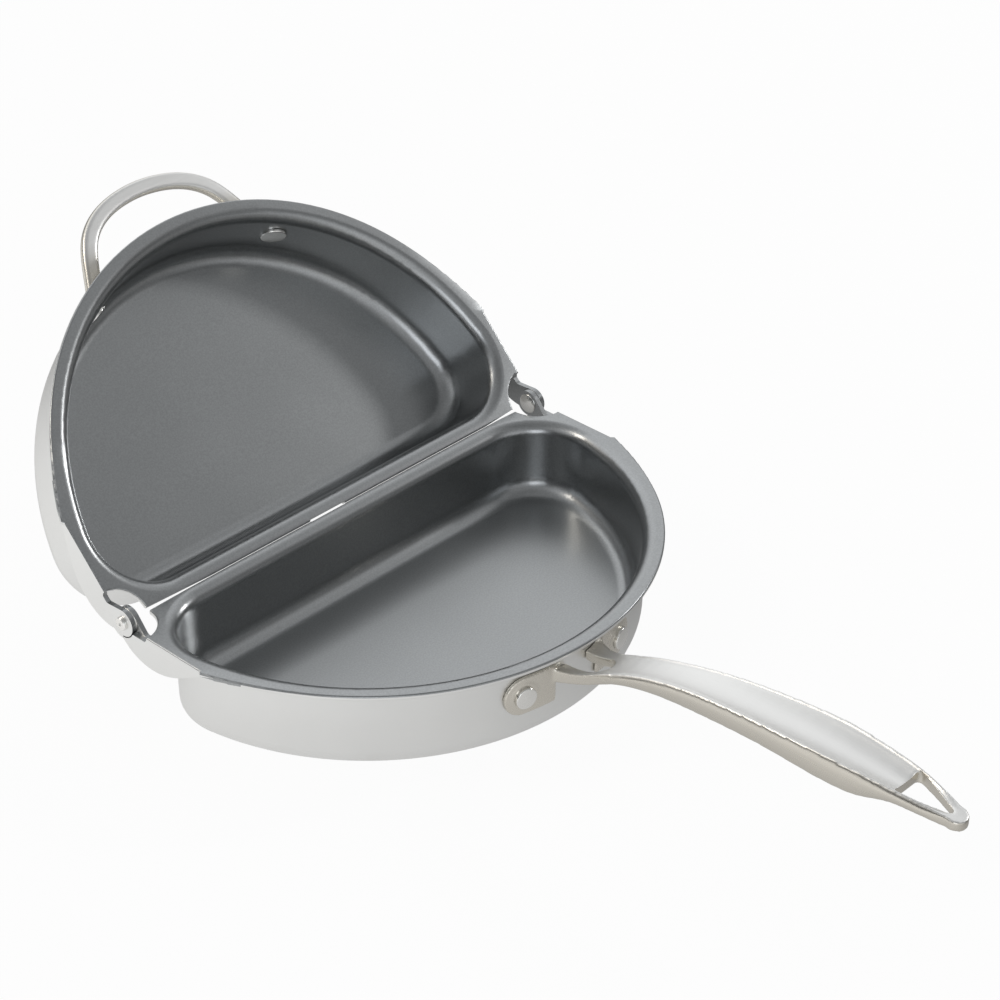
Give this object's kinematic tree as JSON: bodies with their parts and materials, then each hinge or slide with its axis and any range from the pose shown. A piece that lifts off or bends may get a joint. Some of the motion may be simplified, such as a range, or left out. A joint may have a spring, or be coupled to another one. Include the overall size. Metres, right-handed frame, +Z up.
{
  "type": "hinged double sided pan",
  "caption": "Two D-shaped half pans hinged along their straight sides, one with a long handle and one with a loop handle, closing rim to rim for flipping.",
  "frame": {"origin": "on the table, on the flat base of the front pan, under the centre of its round wall", "axes": "+X along the hinge, +Y from the front pan to the back pan so that the long handle points to -Y, +Z up out of the front pan"},
  "size_m": [0.2328, 0.4236, 0.1432],
  "materials": {
    "coated_aluminium": "satin outside, dark grey speckled release coating inside and on the rim",
    "satin_steel": "satin",
    "rivet_steel": "fine satin"
  },
  "bodies": {
    "front": {"front_pan": "coated_aluminium", "long_handle": "satin_steel", "long_handle_rivet_left": "rivet_steel", "long_handle_rivet_right": "rivet_steel", "hinge_pin_left": "rivet_steel", "hinge_pin_right": "rivet_steel", "hinge_washer_left": "rivet_steel", "hinge_washer_right": "rivet_steel"},
    "back": {"back_pan": "coated_aluminium", "loop_handle": "satin_steel", "loop_handle_rivet_left": "rivet_steel", "loop_handle_rivet_right": "rivet_steel"}
  },
  "joints": [
    {"name": "pan_hinge", "type": "hinge", "parent": "front", "child": "back", "pos_m": [0, 0.0172, 0.0397], "axis": [1, 0, 0], "range_deg": [0, 134]}
  ]
}
